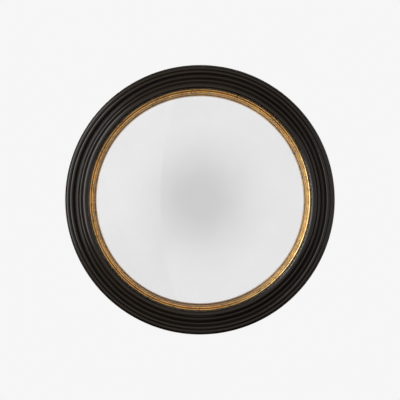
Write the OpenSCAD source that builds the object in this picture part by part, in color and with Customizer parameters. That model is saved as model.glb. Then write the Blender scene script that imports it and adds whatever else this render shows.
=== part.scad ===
// Round convex wall mirror. A black moulded frame is turned from glued wooden segments,
// a gilded slip lies inside it, and a bowed glass, silvered behind, bears on the slip.
// Felt, blocks and a screwed board close the back, and the mirror hangs by two D-rings.
// Its face looks towards -Y and +Z is up. Sizes are in millimetres, angles in degrees.
// The origin is the centre of the ring, half way through the depth.

/* [Frame] */
// Number of wooden segments glued into the ring
segment_count = 8; // [6:1:12]
// Crest of the large round above the back of the frame
frame_depth = 38; // [37:0.5:50]
// Rounding of the frame's back edge
back_round = 2; // [0.5:0.1:4]

/* [Frame mouldings, from the slip outwards] */
// Large round beside the slip, the highest moulding
round_w = 13.8; // [10:0.1:16]
// Channel between the large round and the small bead
quirk_w = 0.4; // [0.2:0.1:3]
// Channel's floor below the lower of the two crests beside it
quirk_deep = 1.1; // [0.6:0.1:4]
// Small bead
bead_w = 6.1; // [4:0.1:8]
// Small bead's crest below the large round's
bead_drop = 4.6; // [1:0.1:7]
// Narrow step between the small bead and the cove
step_w = 1.4; // [0.6:0.1:3]
// Step's floor below the cove's inner edge
step_deep = 1.8; // [1:0.1:4]
// Cove, a hollow that falls outwards
cove_w = 6.8; // [5:0.1:7.9]
// Radius of the cove's hollow
cove_hollow_r = 8; // [7:0.1:12]
// Cove's lowest line, at its outer edge, below the large round's crest
cove_drop = 14; // [12:0.1:16]
// Deep groove between the cove and the outer round
groove_w = 3.8; // [1:0.1:5]
// Groove's floor below the cove's lowest line
groove_deep = 5; // [3:0.1:6]
// Outer round
outer_w = 8.6; // [6:0.1:12]
// Outer round's crest below the large round's
outer_drop = 9; // [4:0.1:11]
// Narrow channel between the outer round and the edge bead
edge_gap_w = 1; // [0.5:0.1:2]
// Channel's floor below the lower of the two crests beside it
edge_gap_deep = 1.8; // [1.2:0.1:4]
// Edge bead from the channel to its crest
edge_rise_w = 2.1; // [1:0.1:4]
// Edge bead from its crest to the bevel
edge_fall_w = 4.3; // [3:0.1:4.9]
// Radius of the edge bead's curve
edge_round_r = 5; // [4.5:0.1:8]
// Edge bead's crest below the large round's
edge_drop = 11.2; // [8:0.1:14]
// Bevel between the edge bead and the frame's side
bevel_w = 2.7; // [1:0.1:4]
// How far the bevel falls
bevel_fall = 4.6; // [1:0.1:8]

/* [Segment joints] */
// Length of the loose tenon across a joint
tenon_l = 40; // [20:1:50]
// Width of the tenon, across the frame
tenon_w = 18; // [10:0.5:20]
// Thickness of the tenon
tenon_t = 6; // [4:0.5:7]
// Near face of the tenon above the back of the frame
tenon_d = 9; // [6:0.5:10]
// Room round the tenon in its mortises, filled by glue
tenon_gap = 0.15; // [0.1:0.05:0.4]

/* [Gilt slip] */
// Diameter of the opening in the slip
sight_d = 450; // [300:1:600]
// Bevelled inner edge
splay_w = 2.8; // [0.6:0.1:4]
// Thickness of the bevel's thin edge over the glass
sight_edge_t = 0.8; // [0.5:0.1:3]
// Main gilded bead
slip_bead_w = 4.8; // [4:0.1:8]
// Main bead's crest above the glass at the sight edge
slip_bead_h = 10.2; // [6.5:0.1:14]
// Channel between the two gilded beads
slip_quirk_w = 0.4; // [0.1:0.1:1.5]
// Channel's floor below the lower of the two crests beside it
slip_quirk_deep = 2; // [0.8:0.1:3]
// Outer gilded bead
slip_fillet_w = 3.8; // [3:0.1:6]
// Outer bead's crest above the glass at the sight edge
slip_fillet_h = 12.6; // [7:0.1:16]
// Gap between the outer bead and the frame's lip
slip_lip_gap = 0.2; // [0.15:0.05:2]
// Front of the flange above the glass at the sight edge
flange_h = 4.4; // [3:0.1:4.7]
// How far the flange goes under the frame's lip
flange_w = 7; // [4:0.1:8]
// Clearance between the slip and the frame
slip_gap = 0.15; // [0.1:0.05:0.4]

/* [Glass] */
// Front of the glass at the sight edge, above the back of the frame
seat_d = 15; // [13.5:0.5:18]
// Thickness of the glass
glass_t = 3.2; // [3:0.1:5]
// Radius of the bowed front
bow_r = 780; // [700:10:1000]
// How far the glass goes behind the slip
glass_lap = 6.5; // [4:0.1:7]
// Gap between the glass and what it bears on
glass_gap = 0.2; // [0.1:0.05:0.4]
// Room round the edge of the glass
glass_edge_gap = 0.8; // [0.3:0.1:1]
// Thickness of the silver and its paint
coat_t = 0.3; // [0.2:0.05:0.5]
// Hairline between the glass and the silver
coat_gap = 0.05; // [0.02:0.01:0.1]
// Clear margin of glass outside the silver
coat_margin = 1; // [0.5:0.1:3]

/* [Felt and blocks] */
// Thickness of the felt behind the edge of the glass
felt_t = 2; // [1:0.1:2.5]
// How far the felt goes in behind the glass
felt_lap = 8; // [4:0.1:10]
// How far the felt goes out over the slip
felt_out = 3.5; // [2:0.1:6]
// Number of wooden blocks that press on the felt
block_count = 12; // [6:1:16]
// Width of a block along the ring
block_w = 26; // [10:1:40]
// Gap between a block and what it touches
block_gap = 0.1; // [0.05:0.05:0.4]

/* [Backing board] */
// Thickness of the board
board_t = 3; // [2:0.5:4]
// How deep the board lies in the back of the frame
board_recess = 1; // [0.5:0.1:1.5]
// Width of the ledge that carries the board
ledge_w = 12; // [10:0.5:16]
// Room round the edge of the board
board_gap = 0.3; // [0.2:0.1:0.8]
// Number of screws in the board
board_screw_count = 8; // [4:1:12]
// Angle of the first board screw
board_screw_angle = 22.5; // [10:0.5:30]
// Length of a board screw in the wood
board_screw_l = 12; // [8:0.5:14]

/* [Screws, cups and brads] */
// Radius of a screw's shank
shank_r = 1.75; // [1.5:0.05:2]
// Room round a shank in its hole
shank_gap = 0.05; // [0.03:0.01:0.1]
// Radius of a screw's head
head_r = 3.7; // [3.3:0.1:4]
// Height of the board screws' countersunk cone
cone_h = 2; // [1.6:0.1:2.2]
// Rise of a head's domed top
dome_h = 0.8; // [0.4:0.1:1.2]
// Width of the cross slots in a head
slot_w = 0.9; // [0.6:0.1:1.2]
// Depth of the cross slots in a head
slot_deep = 1.1; // [0.6:0.1:1.4]
// Length of a screw's or a brad's point
point_l = 3; // [2:0.5:4]
// Radius of a cup washer on the board
cup_r = 6; // [5.5:0.1:8]
// Height of a cup washer
cup_h = 1.8; // [1.4:0.1:1.9]
// Width of the flat rim round a cup's mouth
cup_rim = 0.7; // [0.4:0.1:1]
// Number of brads through the slip's flange
brad_count = 8; // [6:1:16]
// Angle of the first brad
brad_angle = 11.5; // [5:0.5:20]
// Radius of a brad
brad_r = 0.7; // [0.5:0.05:1]
// Radius of a brad's head
brad_head_r = 1.2; // [1.1:0.05:1.5]
// Height of a brad's head
brad_head_h = 0.8; // [0.4:0.1:1.2]
// Length of a brad in the frame's lip
brad_bite = 6; // [4:0.5:7]

/* [Ring hangers] */
// Angle of the hangers above the middle of the frame
hanger_angle = 30; // [20:1:38]
// Width of the strap
strap_w = 13; // [10:0.5:16]
// Length of the strap from the ring's axis
strap_l = 24; // [20:0.5:25]
// Thickness of the strip, which is folded double
strip_t = 1; // [0.8:0.1:1.2]
// Distance from the ring's axis to the screw
hanger_screw_x = 14; // [13:0.5:16]
// Length of a hanger screw in the wood
hanger_screw_l = 16; // [10:0.5:18]
// Height of a hanger screw's head under its dome
pan_h = 1.4; // [1:0.1:1.6]
// Thickness of the ring's wire
wire_d = 3; // [2.5:0.1:3.5]
// Clearance round the wire in the strap's eye
eye_gap = 0.08; // [0.03:0.01:0.1]
// Gap between the eye and the wood under it
eye_seat_gap = 0.1; // [0.05:0.05:0.3]
// Room between the strap and the ring's sides
ring_side_gap = 1.2; // [1:0.1:3]
// Play of the ring along its axis, at each side
ring_play = 0.3; // [0.2:0.1:1]
// Straight length of the ring's sides
ring_side_l = 2.5; // [1:0.1:4]

/* [Bumpers] */
// Radius of a bumper at the frame
bumper_r = 6; // [4:0.5:8]
// Radius of a bumper at the wall
bumper_top_r = 5.2; // [4:0.1:6]
// Height of a bumper
bumper_h = 7; // [6.5:0.5:10]
// Chamfer of a bumper's edge at the wall
bumper_chamfer = 0.8; // [0.4:0.1:1.5]
// Angle of the upper bumpers above the middle
upper_bumper_angle = 60; // [50:1:80]
// Angle of the lower bumpers below the middle
lower_bumper_angle = 60; // [20:1:80]

/* [Hidden] */
$fn = 192;
fine_fn = 48;
// How far a cutter passes the face that it cuts, and how deep joined solids meet
bit = 1;
meet = 0.1;
// Share of a shank's radius that is left at its point
tip_share = 0.25;
// Reach of the cross slots from the middle, as a share of the head's radius
slot_share = 0.6;
segment_angle = 360 / segment_count;

// Radii across the slip
sight_r = sight_d / 2;
glass_r = sight_r + glass_lap;
glass_bore_r = glass_r + glass_edge_gap;
slip_bead_in = sight_r + splay_w;
slip_bead_out = slip_bead_in + slip_bead_w;
slip_fillet_in = slip_bead_out + slip_quirk_w;
slip_fillet_out = slip_fillet_in + slip_fillet_w;
lip_r = slip_fillet_out + slip_lip_gap;
slip_r = lip_r + flange_w;
slip_bore_r = slip_r + slip_gap;

// Radii across the frame
round_out = lip_r + round_w;
bead_in = round_out + quirk_w;
bead_out = bead_in + bead_w;
cove_in = bead_out + step_w;
cove_out = cove_in + cove_w;
outer_in = cove_out + groove_w;
outer_out = outer_in + outer_w;
edge_in = outer_out + edge_gap_w;
edge_mid = edge_in + edge_rise_w;
edge_out = edge_mid + edge_fall_w;
frame_r = edge_out + bevel_w;

// Heights above the frame's back: the mouldings' crests, their middles and the channels' floors
bead_crest = frame_depth - bead_drop;
outer_crest = frame_depth - outer_drop;
edge_crest = frame_depth - edge_drop;
round_c = frame_depth - round_w / 2;
bead_c = bead_crest - bead_w / 2;
outer_c = outer_crest - outer_w / 2;
edge_c = edge_crest - edge_round_r;
cove_d = frame_depth - cove_drop;
cove_c = cove_d + cove_hollow_r;
cove_top = cove_c - sqrt(cove_hollow_r * cove_hollow_r - cove_w * cove_w);
bevel_d = edge_c + sqrt(edge_round_r * edge_round_r - edge_fall_w * edge_fall_w);
quirk_d = min(frame_depth, bead_crest) - quirk_deep;
step_d = cove_top - step_deep;
groove_d = cove_d - groove_deep;
edge_gap_d = min(outer_crest, edge_crest) - edge_gap_deep;

// The glass: its two faces are parts of spheres with one centre on the mirror's axis
bow_centre = seat_d - sqrt(bow_r * bow_r - sight_r * sight_r);
glass_front = bow_centre + bow_r;
back_r = bow_r - glass_t;
coat_r = back_r - coat_gap;
coat_back_r = coat_r - coat_t;
glass_back_edge = bow_centre + sqrt(back_r * back_r - glass_r * glass_r);

// Heights in the slip
sight_edge_d = seat_d + sight_edge_t;
slip_bead_crest = seat_d + slip_bead_h;
slip_fillet_crest = seat_d + slip_fillet_h;
slip_bead_c = slip_bead_crest - slip_bead_w / 2;
slip_fillet_c = slip_fillet_crest - slip_fillet_w / 2;
slip_quirk_d = min(slip_bead_crest, slip_fillet_crest) - slip_quirk_deep;
flange_d = seat_d + flange_h;
slip_back_d = glass_back_edge;
rebate_d = flange_d + slip_gap;

// Heights and radii behind the glass
felt_front_d = slip_back_d - glass_gap;
felt_back_d = felt_front_d - felt_t;
felt_in = glass_r - felt_lap;
felt_r = glass_r + felt_out;
board_front_d = board_recess + board_t;
board_bore_r = slip_bore_r + ledge_w;
board_r = board_bore_r - board_gap;
board_screw_r = (slip_bore_r + board_bore_r) / 2;
brad_ring_r = (lip_r + slip_r) / 2;
brad_tip_d = rebate_d + brad_bite;
hole_r = shank_r + shank_gap;

// Ring hangers: x runs outwards from the ring's axis, y along the axis
wire_r = wire_d / 2;
eye_bore_r = wire_r + eye_gap;
eye_r = eye_bore_r + strip_t;
eye_h = eye_r + eye_seat_gap;
strap_t = 2 * strip_t;
hanger_r = frame_r - back_round - strap_l;
ring_half = strap_w / 2 + ring_side_gap + wire_r;
bar_half = strap_w / 2 + ring_play;
bend_r = ring_half - bar_half;

// Bumpers and the place of the whole mirror
bumper_ring_r = (board_bore_r + frame_r) / 2;
bumper_angles = [
    upper_bumper_angle,
    180 - upper_bumper_angle,
    180 + lower_bumper_angle,
    360 - lower_bumper_angle
];
front_reach = max(frame_depth, glass_front);
frame_back_y = (front_reach - bumper_h) / 2;
tenon_ring_r = (board_bore_r + frame_r) / 2;

segment_nodes = [for (i = [1:segment_count]) str("frame_segment_", i)];
inner_nodes = ["frame_tenons", "gilt_slip", "slip_brads", "mirror_glass", "silver_coat", "glass_felt",
    "glass_blocks"];
back_nodes = ["backing_board", "board_screws", "board_cups", "wall_bumpers"];
hanger_nodes = ["hanger_strap_left", "hanger_strap_right", "hanger_ring_left", "hanger_ring_right",
    "hanger_screw_left", "hanger_screw_right"];

// Stands up what is drawn lying on its back, with z as the height above the frame's back
module hung() {
    translate([0, frame_back_y, 0])
        rotate([90, 0, 0])
            children();
}

// Repeats its children on a circle, at an angle on from the first one
module around(count, radius, first = 0) {
    for (i = [0:count - 1])
        rotate([0, 0, first + i * 360 / count])
            translate([radius, 0, 0])
                children();
}

// A round moulding between two radii, with its middle at a height
module roundel(from_r, to_r, middle) {
    translate([(from_r + to_r) / 2, middle])
        circle(r = (to_r - from_r) / 2, $fn = fine_fn);
}

// A band of the section, from one radius to another and from one height to another
module band(from_r, to_r, from_d, to_d) {
    translate([from_r, from_d])
        square([to_r - from_r, to_d - from_d]);
}

// All that lies inside a sphere round the glass's centre, out to a radius
module bowed(radius, out_r) {
    intersection() {
        translate([0, bow_centre])
            circle(r = radius, $fn = 2 * $fn);
        band(0, out_r, -bit, glass_front + bit);
    }
}

// Corners of the solid under a channel, beside a moulding with these radii and this middle. Where
// the floor is below the middle they go down the moulding's side, and otherwise into its round
function floor_corners(side, inner_r, outer_r, middle, floor_d) =
    floor_d < middle
        ? [[side < 0 ? inner_r : outer_r, middle], [side < 0 ? inner_r : outer_r, floor_d]]
        : [[(inner_r + outer_r) / 2, floor_d]];

function reversed(list) = [for (i = [len(list) - 1:-1:0]) list[i]];

// The corners of a channel from the moulding outside it to the moulding inside it
function channel(inner_in, inner_out, inner_c, outer_in, outer_out, outer_c, floor_d) =
    concat(
        floor_corners(-1, outer_in, outer_out, outer_c, floor_d),
        reversed(floor_corners(1, inner_in, inner_out, inner_c, floor_d))
    );

// Top of the edge bead, part of a circle
module edge_bead() {
    intersection() {
        translate([edge_mid, edge_c])
            circle(r = edge_round_r);
        band(edge_in, edge_out, edge_c, edge_crest + bit);
    }
}

// What the cove takes away, part of a circle that touches the cove's lowest line
module cove_hollow() {
    intersection() {
        translate([cove_out, cove_c])
            circle(r = cove_hollow_r);
        band(cove_in, cove_out, cove_d - bit, cove_c);
    }
}

module frame_section() {
    difference() {
        union() {
            roundel(lip_r, round_out, round_c);
            roundel(bead_in, bead_out, bead_c);
            roundel(outer_in, outer_out, outer_c);
            edge_bead();
            translate([frame_r - back_round, back_round])
                circle(r = back_round, $fn = fine_fn);
            polygon(concat(
                [[frame_r - back_round, 0], [frame_r, back_round], [frame_r, bevel_d - bevel_fall]],
                [[edge_out, bevel_d], [edge_in, edge_gap_d]],
                reversed(floor_corners(1, outer_in, outer_out, outer_c, edge_gap_d)),
                floor_corners(-1, outer_in, outer_out, outer_c, groove_d),
                [[cove_out, groove_d], [cove_out, cove_d], [cove_in, cove_top], [cove_in, step_d]],
                reversed(floor_corners(1, bead_in, bead_out, bead_c, step_d)),
                channel(lip_r, round_out, round_c, bead_in, bead_out, bead_c, quirk_d),
                [[lip_r, round_c], [lip_r, rebate_d], [slip_bore_r, rebate_d], [slip_bore_r, board_front_d]],
                [[board_bore_r, board_front_d], [board_bore_r, 0]]
            ));
        }
        cove_hollow();
    }
}

module slip_section() {
    difference() {
        union() {
            roundel(slip_bead_in, slip_bead_out, slip_bead_c);
            roundel(slip_fillet_in, slip_fillet_out, slip_fillet_c);
            polygon(concat(
                [[slip_r, slip_back_d], [slip_r, flange_d]],
                [[slip_fillet_out, flange_d], [slip_fillet_out, slip_fillet_c]],
                channel(slip_bead_in, slip_bead_out, slip_bead_c,
                    slip_fillet_in, slip_fillet_out, slip_fillet_c, slip_quirk_d),
                [[slip_bead_in, slip_bead_c], [sight_r, sight_edge_d], [sight_r, slip_back_d]]
            ));
        }
        bowed(bow_r + glass_gap, glass_bore_r);
    }
}

// A loose tenon across the joint at angle 0, grown by a gap for its mortises
module tenon(gap = 0) {
    round_r = tenon_t / 2 + gap;
    run = tenon_w / 2 - tenon_t / 2;
    translate([tenon_ring_r, 0, tenon_d + tenon_t / 2])
        rotate([90, 0, 0])
            linear_extrude(tenon_l + 2 * gap, center = true) {
                square([2 * run, 2 * round_r], center = true);
                for (side = [-1, 1])
                    translate([side * run, 0])
                        circle(r = round_r, $fn = fine_fn);
            }
}

module board_screw_holes() {
    around(board_screw_count, board_screw_r, board_screw_angle)
        translate([0, 0, -bit])
            cylinder(r = hole_r, h = bit + board_front_d + board_screw_l + shank_gap, $fn = fine_fn);
}

module brad_holes() {
    around(brad_count, brad_ring_r, brad_angle) {
        translate([0, 0, slip_back_d - bit])
            cylinder(r = brad_r + shank_gap, h = bit + brad_tip_d + shank_gap - slip_back_d, $fn = fine_fn);
        translate([0, 0, slip_back_d - bit])
            cylinder(r = brad_head_r + shank_gap, h = bit + brad_head_h, $fn = fine_fn);
    }
}

// Side is -1 for the left hanger, seen from the front, and 1 for the right one
module at_hanger(side) {
    rotate([0, 0, side > 0 ? hanger_angle : 180 - hanger_angle])
        translate([hanger_r, 0, 0])
            children();
}

module hanger_screw_hole(side) {
    at_hanger(side)
        translate([hanger_screw_x, 0, -bit])
            cylinder(r = hole_r, h = bit + hanger_screw_l + shank_gap, $fn = fine_fn);
}

module frame_segment(index) {
    first = (index - 1) * segment_angle;
    hung() color([0.09, 0.08, 0.07])
        difference() {
            rotate([0, 0, first])
                rotate_extrude(angle = segment_angle)
                    frame_section();
            rotate([0, 0, first])
                tenon(tenon_gap);
            rotate([0, 0, first + segment_angle])
                tenon(tenon_gap);
            board_screw_holes();
            brad_holes();
            for (side = [-1, 1])
                hanger_screw_hole(side);
        }
}

module frame_tenons() {
    hung() color([0.72, 0.55, 0.36])
        around(segment_count, 0)
            tenon();
}

module gilt_slip() {
    hung() color([0.74, 0.55, 0.3])
        difference() {
            rotate_extrude()
                slip_section();
            brad_holes();
        }
}

module brad() {
    cylinder(r = brad_head_r, h = brad_head_h, $fn = fine_fn);
    cylinder(r = brad_r, h = brad_tip_d - slip_back_d - point_l, $fn = fine_fn);
    translate([0, 0, brad_tip_d - slip_back_d - point_l])
        cylinder(r1 = brad_r, r2 = brad_r * tip_share, h = point_l, $fn = fine_fn);
}

module slip_brads() {
    hung() color([0.6, 0.6, 0.62])
        around(brad_count, brad_ring_r, brad_angle)
            translate([0, 0, slip_back_d])
                brad();
}

module mirror_glass() {
    hung() color([0.8, 0.84, 0.84, 0.6])
        rotate_extrude()
            difference() {
                bowed(bow_r, glass_r);
                bowed(back_r, glass_r + bit);
            }
}

module silver_coat() {
    hung() color([0.86, 0.86, 0.86])
        rotate_extrude()
            difference() {
                bowed(coat_r, glass_r - coat_margin);
                bowed(coat_back_r, glass_r);
            }
}

module glass_felt() {
    hung() color([0.35, 0.36, 0.33])
        rotate_extrude() {
            band(glass_r - bit, felt_r, felt_back_d, felt_front_d);
            intersection() {
                band(felt_in, glass_r, felt_back_d, seat_d);
                bowed(coat_back_r - glass_gap, glass_r + bit);
            }
        }
}

module glass_blocks() {
    hung() color([0.78, 0.66, 0.47])
        intersection() {
            around(block_count, 0, 180 / block_count)
                translate([0, -block_w / 2, 0])
                    cube([slip_bore_r, block_w, seat_d]);
            rotate_extrude()
                band(felt_in, slip_bore_r - block_gap, board_front_d + block_gap, felt_back_d - block_gap);
        }
}

module backing_board() {
    hung() color([0.42, 0.3, 0.2])
        difference() {
            translate([0, 0, board_recess])
                cylinder(r = board_r, h = board_t);
            board_screw_holes();
        }
}

// Two crossed slots in the top of a head, cut down from height 0 into +z
module cross_slots() {
    for (turn = [0, 90])
        rotate([0, 0, turn])
            translate([-head_r * slot_share, -slot_w / 2, -bit])
                cube([2 * head_r * slot_share, slot_w, bit + slot_deep]);
}

// A shank that starts at height 0 and ends in a point
module shank(length) {
    cylinder(r = shank_r, h = length - point_l, $fn = fine_fn);
    translate([0, 0, length - point_l])
        cylinder(r1 = shank_r, r2 = shank_r * tip_share, h = point_l, $fn = fine_fn);
}

// A domed top of radius head_r that rises from height 0 towards -z
module dome() {
    dome_r = (head_r * head_r + dome_h * dome_h) / (2 * dome_h);
    rotate_extrude($fn = fine_fn)
        intersection() {
            translate([0, dome_r - dome_h])
                circle(r = dome_r);
            band(0, head_r, -dome_h - bit, meet);
        }
}

// A countersunk screw with its cone's wide end at height 0
module cone_screw(length) {
    difference() {
        union() {
            cylinder(r1 = head_r, r2 = shank_r, h = cone_h, $fn = fine_fn);
            dome();
            translate([0, 0, cone_h - meet])
                shank(length - cone_h + meet);
        }
        translate([0, 0, -dome_h])
            cross_slots();
    }
}

// A cup washer whose mouth is at height 0 and whose foot is on the board
module cup() {
    mouth_r = head_r + shank_gap;
    rotate_extrude($fn = fine_fn)
        polygon([
            [mouth_r, 0],
            [mouth_r + cup_rim, 0],
            [cup_r, cup_h],
            [hole_r + (mouth_r - hole_r) * (cone_h - cup_h) / cone_h, cup_h]
        ]);
}

// Height of the cups' mouths, which stand on the board's back
cup_mouth_d = board_recess - cup_h;

module board_screws() {
    hung() color([0.82, 0.7, 0.42])
        around(board_screw_count, board_screw_r, board_screw_angle)
            translate([0, 0, cup_mouth_d])
                cone_screw(board_front_d + board_screw_l - cup_mouth_d);
}

module board_cups() {
    hung() color([0.8, 0.66, 0.36])
        around(board_screw_count, board_screw_r, board_screw_angle)
            translate([0, 0, cup_mouth_d])
                cup();
}

module hanger_strap(side) {
    hung() color([0.75, 0.75, 0.72])
        at_hanger(side)
            difference() {
                union() {
                    translate([eye_bore_r / 2, -strap_w / 2, -strap_t])
                        cube([strap_l - strap_w / 2 - eye_bore_r / 2, strap_w, strap_t]);
                    translate([strap_l - strap_w / 2, 0, -strap_t])
                        cylinder(r = strap_w / 2, h = strap_t, $fn = fine_fn);
                    translate([0, 0, -eye_h])
                        rotate([90, 0, 0])
                            cylinder(r = eye_r, h = strap_w, center = true, $fn = fine_fn);
                }
                translate([0, 0, -eye_h])
                    rotate([90, 0, 0])
                        cylinder(r = eye_bore_r, h = strap_w + 2 * bit, center = true, $fn = fine_fn);
                translate([hanger_screw_x, 0, -strap_t - bit])
                    cylinder(r = hole_r, h = strap_t + 2 * bit, $fn = fine_fn);
            }
}

// The ring hangs from its bar, which lies on the y axis, and reaches towards -x
module hanger_ring(side) {
    hung() color([0.78, 0.78, 0.76])
        at_hanger(side)
            translate([0, 0, -eye_h]) {
                rotate([90, 0, 0])
                    cylinder(r = wire_r, h = 2 * bar_half, center = true, $fn = fine_fn);
                for (end = [-1, 1]) {
                    translate([-bend_r, end * bar_half, 0])
                        rotate([0, 0, end > 0 ? 0 : -90])
                            rotate_extrude(angle = 90)
                                translate([bend_r, 0])
                                    circle(r = wire_r, $fn = fine_fn);
                    translate([-bend_r - ring_side_l, end * ring_half, 0])
                        rotate([0, 90, 0])
                            cylinder(r = wire_r, h = ring_side_l, $fn = fine_fn);
                }
                translate([-bend_r - ring_side_l, 0, 0])
                    rotate([0, 0, 90])
                        rotate_extrude(angle = 180)
                            translate([ring_half, 0])
                                circle(r = wire_r, $fn = fine_fn);
            }
}

module hanger_screw(side) {
    hung() color([0.82, 0.7, 0.42])
        at_hanger(side)
            translate([hanger_screw_x, 0, -strap_t - pan_h])
                difference() {
                    union() {
                        cylinder(r = head_r, h = pan_h, $fn = fine_fn);
                        dome();
                        translate([0, 0, pan_h - meet])
                            shank(strap_t + hanger_screw_l + meet);
                    }
                    translate([0, 0, -dome_h])
                        cross_slots();
                }
}

module wall_bumpers() {
    hung() color([0.12, 0.12, 0.12])
        for (angle = bumper_angles)
            rotate([0, 0, angle])
                translate([bumper_ring_r, 0, 0])
                    rotate_extrude($fn = fine_fn)
                        polygon([
                            [0, 0],
                            [bumper_r, 0],
                            [bumper_top_r, -bumper_h + bumper_chamfer],
                            [bumper_top_r - bumper_chamfer, -bumper_h],
                            [0, -bumper_h]
                        ]);
}

for (i = [1:segment_count])
    frame_segment(i);
frame_tenons();
gilt_slip();
slip_brads();
mirror_glass();
silver_coat();
glass_felt();
glass_blocks();
backing_board();
board_screws();
board_cups();
wall_bumpers();
hanger_strap(-1);  // hanger_strap_left
hanger_strap(1);  // hanger_strap_right
hanger_ring(-1);  // hanger_ring_left
hanger_ring(1);  // hanger_ring_right
hanger_screw(-1);  // hanger_screw_left
hanger_screw(1);  // hanger_screw_right
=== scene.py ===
import bpy
import numpy as np
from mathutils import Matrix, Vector


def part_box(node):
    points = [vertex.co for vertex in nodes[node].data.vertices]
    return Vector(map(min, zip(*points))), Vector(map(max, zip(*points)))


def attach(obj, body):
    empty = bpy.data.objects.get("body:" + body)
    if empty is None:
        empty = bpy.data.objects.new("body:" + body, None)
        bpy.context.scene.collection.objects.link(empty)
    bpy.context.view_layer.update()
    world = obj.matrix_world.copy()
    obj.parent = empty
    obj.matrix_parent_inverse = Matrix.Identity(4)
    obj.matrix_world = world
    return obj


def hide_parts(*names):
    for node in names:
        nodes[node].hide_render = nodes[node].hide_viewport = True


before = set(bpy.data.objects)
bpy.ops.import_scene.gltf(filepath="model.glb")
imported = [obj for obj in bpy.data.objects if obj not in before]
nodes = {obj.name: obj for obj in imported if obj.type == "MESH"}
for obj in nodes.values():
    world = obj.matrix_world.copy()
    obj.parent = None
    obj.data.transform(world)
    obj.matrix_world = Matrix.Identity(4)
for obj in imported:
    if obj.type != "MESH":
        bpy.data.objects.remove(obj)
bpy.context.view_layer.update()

# %% [markdown]
# The mirror is a black moulded ring of wood, a rubbed gilt slip inside it and a bowed glass that is
# silvered behind. It hangs with its face towards -Y and its back towards +Y. Every height below is
# measured in millimetres from the back of the frame towards the front, and is turned into metres
# only when a mesh is made. A name that ends in _R, _IN or _OUT is a radius, one in _D or _CREST a
# height above the back, and one in _T a thickness.

# %% Shared measures
MM = 0.001
BACK_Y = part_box("frame_segment_1")[1].y
SEGMENTS = [name for name in nodes if name.startswith("frame_segment")]

SIGHT_R = 225.0
GLASS_R = 231.5
GLASS_BORE_R = 232.3
LIP_R = 237.0
SLIP_R, SLIP_BORE_R = 244.0, 244.15
BOARD_BORE_R = 256.15
FRAME_R = 288.0
BOW_R, GLASS_T = 780.0, 3.2
SEAT_D = 15.0
BOW_CENTRE = SEAT_D - (BOW_R**2 - SIGHT_R**2) ** 0.5
GLASS_BACK_R = BOW_R - GLASS_T
GLASS_BACK_EDGE = BOW_CENTRE + (GLASS_BACK_R**2 - GLASS_R**2) ** 0.5
print("back of the frame at y", round(BACK_Y, 5), "and", len(SEGMENTS), "segments")

# %% [markdown]
# Each ring is one section carried round the mirror's axis. The section is drawn once as a closed
# outline of straight runs and arcs. It could be a curve with a Screw modifier, but points that are
# worked out can each carry values of their own, such as how worn the finish is there.

# %% Outline helpers
def arc(radius, centre, start, stop, steps=24):
    """Points on a circle: the centre plus the radius times the cosine and the sine of an angle
    that goes in even steps from start to stop, in degrees."""
    turn = np.radians(np.linspace(start, stop, steps))
    return np.stack([centre[0] + radius * np.cos(turn), centre[1] + radius * np.sin(turn)], axis=1)


def roundel(inner, outer, crest, before, after):
    """A half round between two radii with its crest at a height. Before and after are the heights of
    the floors beside it. Where a floor lies above the round's middle, the round is cut there, at the
    angle whose sine is the floor's height above the middle over the radius. Otherwise a wall goes
    straight down to it."""
    radius = (outer - inner) / 2
    middle = crest - radius
    start, stop = (np.degrees(np.arcsin(max(floor - middle, 0.0) / radius))
                   for floor in (before, after))
    walls = [[(x, floor)] if floor < middle else np.empty((0, 2))
             for x, floor in ((inner, before), (outer, after))]
    return np.vstack([walls[0], arc(radius, (inner + radius, middle), 180.0 - start, stop), walls[1]])


# %% [markdown]
# Real paint and gesso fill every inner corner and soften every outer one. A Bevel modifier would
# round all corners alike, so the outline is cut into tiny even steps instead and blurred a little
# along itself. The blur is a product in the frequency domain, which keeps a closed outline closed.
# The same blur, made much stronger, tells crests from hollows.

# %% Finished sections
STRONG_BLUR = 2.2
FULL_CREST = 0.8
LEAST_TURN = 0.04


def even_steps(outline, step):
    """Points at even steps along a closed outline. The way along it is the running sum of the
    distances between neighbours, and each new point lies between the two that enclose its way."""
    closed = np.vstack([outline, outline[:1]])
    run = np.concatenate([[0.0], np.cumsum(np.hypot(*np.diff(closed, axis=0).T))])
    at = np.linspace(0.0, run[-1], int(run[-1] / step), endpoint=False)
    return np.stack([np.interp(at, run, closed[:, k]) for k in (0, 1)], axis=1)


def blurred(loop, step, width):
    """Each point becomes the bell-weighted mean of its neighbours along the loop. Every wave in the
    loop is lessened by e to the minus two times the square of pi times the width times its
    frequency. The bell's width is in millimetres."""
    waves = np.fft.fftfreq(len(loop), step)[:, None]
    bell = np.exp(-2 * (np.pi * width * waves) ** 2)
    return np.fft.ifft(np.fft.fft(loop, axis=0) * bell, axis=0).real


def section_of(outline, softness, shown, fine=2, step=0.2, coarse=14):
    """A finished section: its points, how far each stands out from a strongly blurred copy, as a
    share of a full crest, and the outward direction at each. Points are kept densely where
    shown(points) is true or the outline turns, and sparsely on the rest."""
    loop = blurred(even_steps(outline, step), step, softness)
    along = np.roll(loop, -1, axis=0) - np.roll(loop, 1, axis=0)
    along /= np.linalg.norm(along, axis=1, keepdims=True)
    outward = np.stack([-along[:, 1], along[:, 0]], axis=1)
    stand_out = ((loop - blurred(loop, step, STRONG_BLUR)) * outward).sum(axis=1)
    turning = np.abs(np.cross(np.roll(along, 1, axis=0), along)) > LEAST_TURN
    index = np.arange(len(loop))
    keep = (shown(loop) & (index % fine == 0)) | (turning & (index % 2 == 0)) | (index % coarse == 0)
    return loop[keep], np.clip(stand_out[keep] / FULL_CREST, -1.0, 1.0), outward[keep]


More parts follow.
